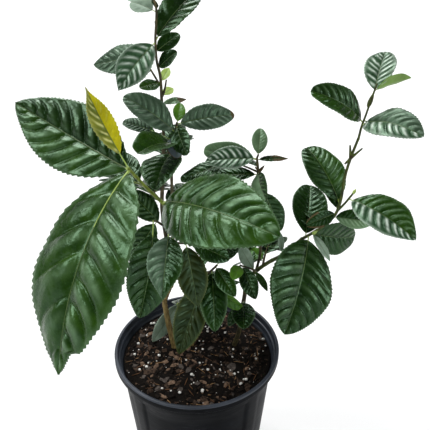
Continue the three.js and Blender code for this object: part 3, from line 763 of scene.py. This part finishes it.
# The crown's leading shoot tops the main stem. Its leaves stand two by two up the twig and
# get smaller towards the youngest pair at the very top.
grow_mass("crown_shoot", [(
    [(-25, 10, 377.2), (-25, 9, 407), (-25, 8, 422), (-27, 6, 435), (-27, 5, 449),
     (-25, 4, 470), (-28, 3, 480), (-30, 3, 489)], 1.3, 0.7, [
        (("smooth deep", "deep"), 0.57, 28, 42, 57, 29, 30, 35, 13),
        (("striped frosted", "banded frosted"), 0.56, -155, -47, 46, 26, -50, 40, 12, 0, 1.1),
        ("smooth deep", 0.49, 31, 31, 24, 13, 50, 22, 13),
        ("smooth deep", 0.36, -15, 38, 20, 13, 60, 20, 15),
        ("dusty", 0.48, 163, -10, 56, 25, -53, 5, 5, 0, 0.6),
        ("smooth mid", 0.24, -144, -7, 19, 12, -34, 10, 4),
        ("smooth lime", 0.25, 73, 25, 20, 7, 30, 20, 10, 0, 1),
        ("smooth lime", 0.15, 66, 8, 20, 7, 41, 20, 10, 0, 1),
        ("pale", 0.11, 29, 5, 22, 8, 26, 9, 11, 0, 1),
        ("ashen", 0.84, 150, 5, 27, 13, -60, 15, 9),
        ("smooth ashen", 0.7, 141, 15, 28, 15, -43, 20, 10, 4),
        ("smooth deep", 0.72, 110, 35, 12, 6, 30, 10, 10),
        ("fresh", 0.9, 70, 35, 32, 14, 0, 20, 10, 0, 0.6),
        ("fresh", 1, -60, 55, 24, 9, 0, -10, 20, 0, 1),
        ("fresh", 1, 120, 60, 20, 8, 0, -10, 20, 0, 1),
    ]), (
    [(-25.2, 8.5, 415), (-30, 7, 424), (-34, 6, 431)], 0.9, 0.7, [
        ("fresh", 1, 75, 60, 10, 6, 0, 20, 10),
        ("smooth deep", 0.7, 170, -15, 12, 6, -40, 20, 10),
    ]), (
    [(-24.5, 9, 407), (-22, 9, 413), (-20.5, 9, 420)], 1.1, 0.6, [])],
    dark_bark, flaws={8: ("withered", 0.62, 0)})

# A whorl of dusty dark leaves sits on the second stem, with one bright young leaf upright
# in its middle.
grow_mass("whorl", [(
    [(-18, -2.1, 361), (-16, -3, 370), (-14, -4, 380), (-12, -4, 389)], 1.5, 1.0, [
        (("banded dusty", "lit dusty"), 0.7, -178, 36, 48, 27, -40, 34, 12),
        ("smooth fresh", 1, 84, 35, 21, 10, 19, 20, 11),
        (("lit dusty", "banded dusty"), 0.95, 19, 5, 49, 23, 49, 24, 10, 0, 0.2),
        ("banded dusty", 0.45, 178, 21, 43, 15, -28, 27, 9, 20, -0.3),
        ("smooth mid", 0.4, -124, 2, 42, 30, -16, 38, 22, 0, -0.4),
        ("edged lit deep", 0.1, -102, -20, 47, 33, 8, 38, 14, 0, 0.5),
        ("lit deep", 0.9, -68, -36, 30, 16, 40, 20, 12),
        ("smooth slate", 0.6, -82, -24, 27, 15, 0, 15, 5),
        ("deep", 0.2, 72, 5, 38, 17, 0, 25, 10),
    ])], dark_bark, flaws={2: ("withered", 0.93, 0.1), 7: ("withered", 0.6, 0.9)})

# The centre bough ends in a small open shoot: leaves to the left with painted sheen stripes,
# one pale leaf upright and one narrow damaged leaf to the right.
grow_mass("centre_shoot", [(
    [(57, 22, 333), (56, 21, 345), (55, 20, 352), (56, 19, 356)], 1.3, 0.8, [
        ("striped frosted", 0.67, 174, -5, 46, 23, -44, 23, 14, 0, 0.6),
        ("smooth pale", 0.9, 81, 36, 31, 14, 10, 17, 8),
        ("lit deep", 0.6, 17, -3, 30, 9, 17, 6, 9, 0, 1),
        (("striped deep", "smooth pale"), 0.15, -82, -23, 35, 17, 51, 32, 17, 0, 0.2),
        ("deep", 0.3, 125, 0, 34, 15, 10, 20, 10),
        ("smooth pale", 0.6, 161, 5, 50, 22, -60, 12, 8, 0, -0.2),
        ("deep", 0.1, 168, -6, 47, 19, -23, 6, 8, 0, -0.2),
    ]), (
    [(56.5, 21.5, 339), (46, 24, 343), (33, 27, 347)], 1.0, 0.7, [
        ("lit deep", 1, -174, -19, 49, 21, -20, 9, 7, 0, -0.3),
    ])], dark_bark, buds=[((56.5, 21.5, 338), (62, 20, 346), 1.5, 3),
                         ((56.5, 21.3, 341), (53, 19, 345), 1.0, 3)],
    flaws={2: ("withered", 0.45, 0.2)})

# The right stem runs out into its leafy part: a big quilted leaf hanging below it, a long
# one reaching out to the right, and a short side twig with a pale bud.
grow_mass("right_lower", [(
    [(99, 8, 279), (107, 7, 285), (116, 7, 292), (125, 6, 303), (128, 5, 314), (129, 5, 322)],
    1.5, 1.3, [
        (("lit deep", "banded deep"), 0.13, -113, -40, 93, 60, -37, 30, 8, 0, 0.4),
        (("banded deep", "lit deep"), 0.17, 14, -12, 47, 34, 88, 21, 17),
        ("ashen", 0.2, -43, -45, 30, 10, 6, 9, 8, 0, 1),
        ("deep", 0.06, 77, 30, 62, 35, 11, 27, 17),
        ("deep", 0.65, -158, -12, 31, 14, -57, 20, 9),
        (("lit deep", "lit mid"), 0.82, 121, 40, 62, 35, -15, 45, 9, 0, -0.2),
        (("deep", "banded pale"), 0.58, 2, -10, 36, 18, 50, 17, 11),
        ("deep", 0.4, 100, 5, 44, 20, 0, 20, 10),
        ("deep", 0.7, 100, 35, 40, 16, 0, 25, 10),
        ("deep", 0.3, 115, 8, 32, 15, 0, 25, 10),
    ]), (
    [(127, 5.6, 308), (133, 5, 316), (139, 4.5, 326)], 1.2, 0.9, [
        (("banded mid", "striped frosted"), 0.7, -47, -15, 65, 40, 20, 38, 10, 0, 0.7),
    ])], olive_bark, buds=[((138.4, 4.5, 324.5), (140.5, 4.3, 329.5), 1.5, 2),
                          ((107, 6, 284.5), (111, 4, 289), 1.6, 2)],
    flaws={4: ("withered", 0.5, 0.86)})

# The right bough's top holds four spread leaves round a long bud, and a small one that hangs
# under them.
grow_mass("right_top", [(
    [(136, 3, 374), (137, 2.6, 384), (139, 2, 394), (142, 1, 410), (144, 1, 418)], 1.1, 0.7, [
        (("mid", "banded deep"), 0.34, -172, 29, 53, 28, -47, 50, 15, 4, -0.2),
        (("banded dusty", "striped frosted"), 0.3, -60, 2, 56, 29, 34, 62, 6, 0, 0.4),
        ("striped frosted", 0.78, 64, 35, 48, 25, -1, 22, 20, 0, 0.4),
        ("smooth fresh", 0.82, 16, 15, 33, 14, -49, 20, 22, 0, 0.8),
        ("deep", 0.4, 25, -35, 26, 12, 0, 20, 10),
    ])], olive_bark, buds=[((139.5, 2, 399), (142.5, 1, 412), 2.0, 0)])

# One puckered leaf hangs under the near bough and a plain one off the centre bough, and a
# tiny one stands on the right stem.
grow_mass("near_leaf", [(
    [(-16.6, -39.2, 312.4), (-18, -41.5, 310.5), (-18.5, -42.4, 309.7)], 1.0, 0.8, [
        (("deep", "banded dusty"), 1, -91, -26, 57, 27, -4, 22, 14, 0, 1.2),
    ])], green_bark)
grow_mass("stem_leaf", [(
    [(82.9, 8.9, 262.2), (81.2, 7.4, 264), (80.5, 6.9, 264.6)], 0.9, 0.7, [
        ("smooth ashen", 1, 106, 66, 20, 6.5, 9, 12, 11, 0, 0.5),
    ])], olive_bark)
grow_mass("bough_leaf", [(
    [(58.6, 21.4, 319.6), (60.8, 19.6, 321.3), (61.4, 19.1, 322)], 0.9, 0.7, [
        ("lit deep", 1, -27, -61, 41, 20, 45, 14, 12, 0, 0.4),
    ])], dark_bark)

# On the bush's left side three leaves hang from a short spur on the main stem, and a pale one
# from a spur low down on the middle stem.
grow_mass("left_side", [(
    [(-31, 12.4, 291), (-34, 8, 296), (-37, 2, 300)], 1.2, 0.9, [
        ("striped deep", 0.2, 151, 38, 43, 22, -43, 20, 10, 0, 0.3),
        ("striped deep", 0.6, -154, -52, 45, 23, -54, 20, 11, 0, 0.4),
        ("lit deep", 1, -98, -48, 85, 43, -40, 32, 14, 14, 0.5),
    ])], dark_bark)
grow_mass("low_left", [(
    [(-6.8, 9, 183.8), (-14, 18, 191), (-20, 24, 196)], 1.1, 0.8, [
        ("smooth ashen", 1, -144, -47, 48, 19, -75, 8, 12, 0, 0.6),
    ])], dark_bark)

# Inside the bush the oldest leaves hang low and have turned olive and dull, with a few young
# bright ones between them.
grow_mass("inner_shoot", [(
    [(-19, 1.6, 277.6), (-10, -3, 280), (-2, -6, 282)], 1.2, 0.9, [
        ("edged olive", 0.6, -66, -62, 58, 27, 11, 19, 10, 0, 0.9),
        ("deep", 0.9, -7, -23, 38, 22, 35, 18, 7, 0, 0.3),
    ])], dark_bark)
grow_mass("low_centre", [(
    [(5.8, 3, 238), (12, 1, 246), (20, -1, 256)], 1.5, 1.0, [
        ("edged olive", 0.25, -130, -60, 78, 31, -19, 9, 12, 0, 0.7),
        ("edged deep", 0.7, -86, -44, 56, 25, -2, 20, 10, 0, 0.4),
        ("lit fresh", 0.4, -31, -33, 44, 18, 88, 37, 19, 0, -0.5),
        ("edged mid", 0.9, -58, -22, 36, 16, 28, 20, 10, 0, 0.4),
        ("deep", 1, 60, 10, 40, 18, 10, 20, 10),
    ])], dark_bark)
grow_mass("low_right", [(
    [(57.6, 8.4, 243), (52, 2, 250), (41, -3, 257)], 1.2, 0.9, [
        ("lit deep", 0.9, -70, -28, 35, 16, 24, 20, 10, 0, 0.4),
        ("smooth fresh", 1, -110, -5, 22, 12, -18, 20, 10),
        ("mid", 0.15, -58, -30, 23, 8, -5, 16, 9, 0, 0.5),
        ("smooth ashen", 0.2, 115, 22, 33, 14, -55, 18, 12, 0, 0.3),
    ])], dark_bark)
grow_mass("low_stalk", [(
    [(46, 8, 206), (46, 4, 211), (45, 1, 214)], 1.0, 0.8, [
        ("edged deep", 0.9, -92, -7, 36, 22, 1, 20, 10, 0, 0.2),
        ("deep", 0.5, -144, -48, 28, 11, -20, 20, 10, 0, 0.4),
    ])], dark_bark)

# Round the back the bush fills out evenly, by one rule: fans of leaves on short twigs, and
# on each twig two finer ones with smaller leaves. A fan's row is its leaf count, seed,
# heading, spread, pitch and leaf length.
BACK_FANS = {
    "back_upper": ([(-26.5, 13.4, 347.6), (-27, 24, 354), (-26, 34, 362)], 1.2,
                   (5, 1, 90, 90, 8, 46)),
    "back_centre": ([(-19.7, 2.8, 303), (-8, 18, 303), (6, 34, 298)], 1.2,
                    (6, 2, 50, 215, -5, 52)),
    "back_left": ([(-30.2, 13.6, 311.8), (-40, 32, 315), (-57, 50, 315)], 1.3,
                  (6, 3, 138, 180, 2, 52)),
    "back_right": ([(64, 11.4, 248.9), (68, 28, 252), (72, 44, 252)], 1.2,
                   (4, 4, 116, 150, -5, 42)),
    "back_low": ([(-5.6, 10.4, 189.4), (-2, 26, 204), (2, 40, 216)], 1.2,
                 (5, 5, 62, 170, 0, 46)),
}
YOUNG_LEAVES = {"back_right": [("smooth fresh", 0.2, 125, 6, 24, 11, -34, 20, 10)]}
GOLDEN_TURN = 0.381966
SEED_TURN = 0.17
FIRST_PLACE = 0.7
FAN_TILT = 16
PITCH_STRAY = 8
LENGTH_STRAY = 0.15
WIDTH_SHARE = 0.44
WIDTH_STRAY = 0.03
ROLL_STRAY = 15
FAN_BEND = 24
BEND_STRAY = 8
FAN_FOLD = 11
FAN_TIP = 0.4
WAVE_LEAF_STEP = 12.9898
WAVE_SEED_STEP = 78.233
WAVE_SEEDS_APART = 7
WAVE_SCALE = 43758.5453
FINER_PLACES = (0.45, 0.85)
FINER_ASIDE = 48
FINER_REACH = 0.32
FINER_RISE = 0.35
FINER_COUNT = 4
FINER_SPREAD = 190
FINER_LEAF = 0.55


def fan_rows(count, seed, heading, spread, pitch, length, look):
    """Round the back each leaf stands a golden angle on from the last, a little astray."""
    rows = []
    for n in range(count):

        def stray(k):
            phase = (n + 1) * WAVE_LEAF_STEP + (seed + WAVE_SEEDS_APART * k) * WAVE_SEED_STEP
            wave = math.sin(phase) * WAVE_SCALE
            return 2 * (wave - math.floor(wave)) - 1

        place = (n + FIRST_PLACE) / count
        turn = (n * GOLDEN_TURN + seed * SEED_TURN) % 1 - 0.5
        long = length * (1 + LENGTH_STRAY * stray(2))
        tilt = FAN_TILT if n % 2 else -FAN_TILT
        rows.append((
            look, place, heading + spread * turn, pitch + tilt + PITCH_STRAY * stray(1), long,
            long * (WIDTH_SHARE + WIDTH_STRAY * stray(3)), ROLL_STRAY * stray(4),
            FAN_BEND + BEND_STRAY * stray(5), FAN_FOLD, 0, FAN_TIP))
    return rows


def fan_twigs(path, thick, fan, young):
    """A twig with its young leaves and its fan, and two finer twigs that grow on from it."""
    _, seed, heading, _, pitch, length = fan
    points = [Vector(point) for point in path]
    twigs = [(path, thick, 0.9, young + fan_rows(*fan, "deep"))]
    for k, place in enumerate(FINER_PLACES):
        start = on_path(points, place)
        aside = heading + (FINER_ASIDE if k else -FINER_ASIDE)
        turn = math.radians(aside)
        far = Vector((math.cos(turn), math.sin(turn), FINER_RISE)) * FINER_REACH * length
        path_on = [start, start + far * 0.5 + Vector((0, 0, 1)), start + far]
        rows = fan_rows(
            FINER_COUNT, seed + 10 + 3 * k, aside, FINER_SPREAD, pitch + 8,
            FINER_LEAF * length, "mid")
        twigs.append((path_on, 0.8, 0.5, rows))
    return twigs


for mass, (path, thick, fan) in BACK_FANS.items():
    grow_mass(mass, fan_twigs(path, thick, fan, YOUNG_LEAVES.get(mass, [])), dark_bark)

# A plain pale floor that rises gently far off, under a dim studio sky. One wide soft light
# hangs high behind the plant, and two smaller ones stand at its left and right, so that the
# leaves' wax catches them.
RISE = [(0, 0), (0.5, 0), (1, 0), (2, 0), (3, 0.04), (4, 0.15), (6, 0.5), (8, 1.0), (11, 2.0)]
FLOOR_STEPS = 64
SKY_STRENGTH = 0.13
LIGHTS = (
    ("high_light", 2.7, 32, (0.2, -0.42, -0.88)),
    ("left_light", 1.6, 26, (0.72, 0.12, -0.68)),
    ("right_light", 1.2, 24, (-0.77, 0.41, -0.49)),
)
ground = bmesh.new()
spin_line(ground, [(r, 0, z) for r, z in RISE], FLOOR_STEPS)
floor_finish, _, _, shader, _ = new_finish("pale_floor")
shader.inputs["Base Color"].default_value = (0.9, 0.9, 0.9, 1)
shader.inputs["Roughness"].default_value = 0.9
floor = new_object("floor", ground, [floor_finish])
sky = bpy.data.worlds.new("studio_sky")
sky.use_nodes = True
backdrop = sky.node_tree.nodes["Background"]
backdrop.inputs["Color"].default_value = (0.93, 0.97, 1, 1)
backdrop.inputs["Strength"].default_value = SKY_STRENGTH
bpy.context.scene.world = sky
for name, energy, spread, aim in LIGHTS:
    light = bpy.data.lights.new(name, "SUN")
    light.energy = energy
    light.angle = math.radians(spread)
    lamp = bpy.data.objects.new(name, light)
    lamp.rotation_euler = Vector(aim).to_track_quat("-Z", "Y").to_euler()
    studio.objects.link(lamp)
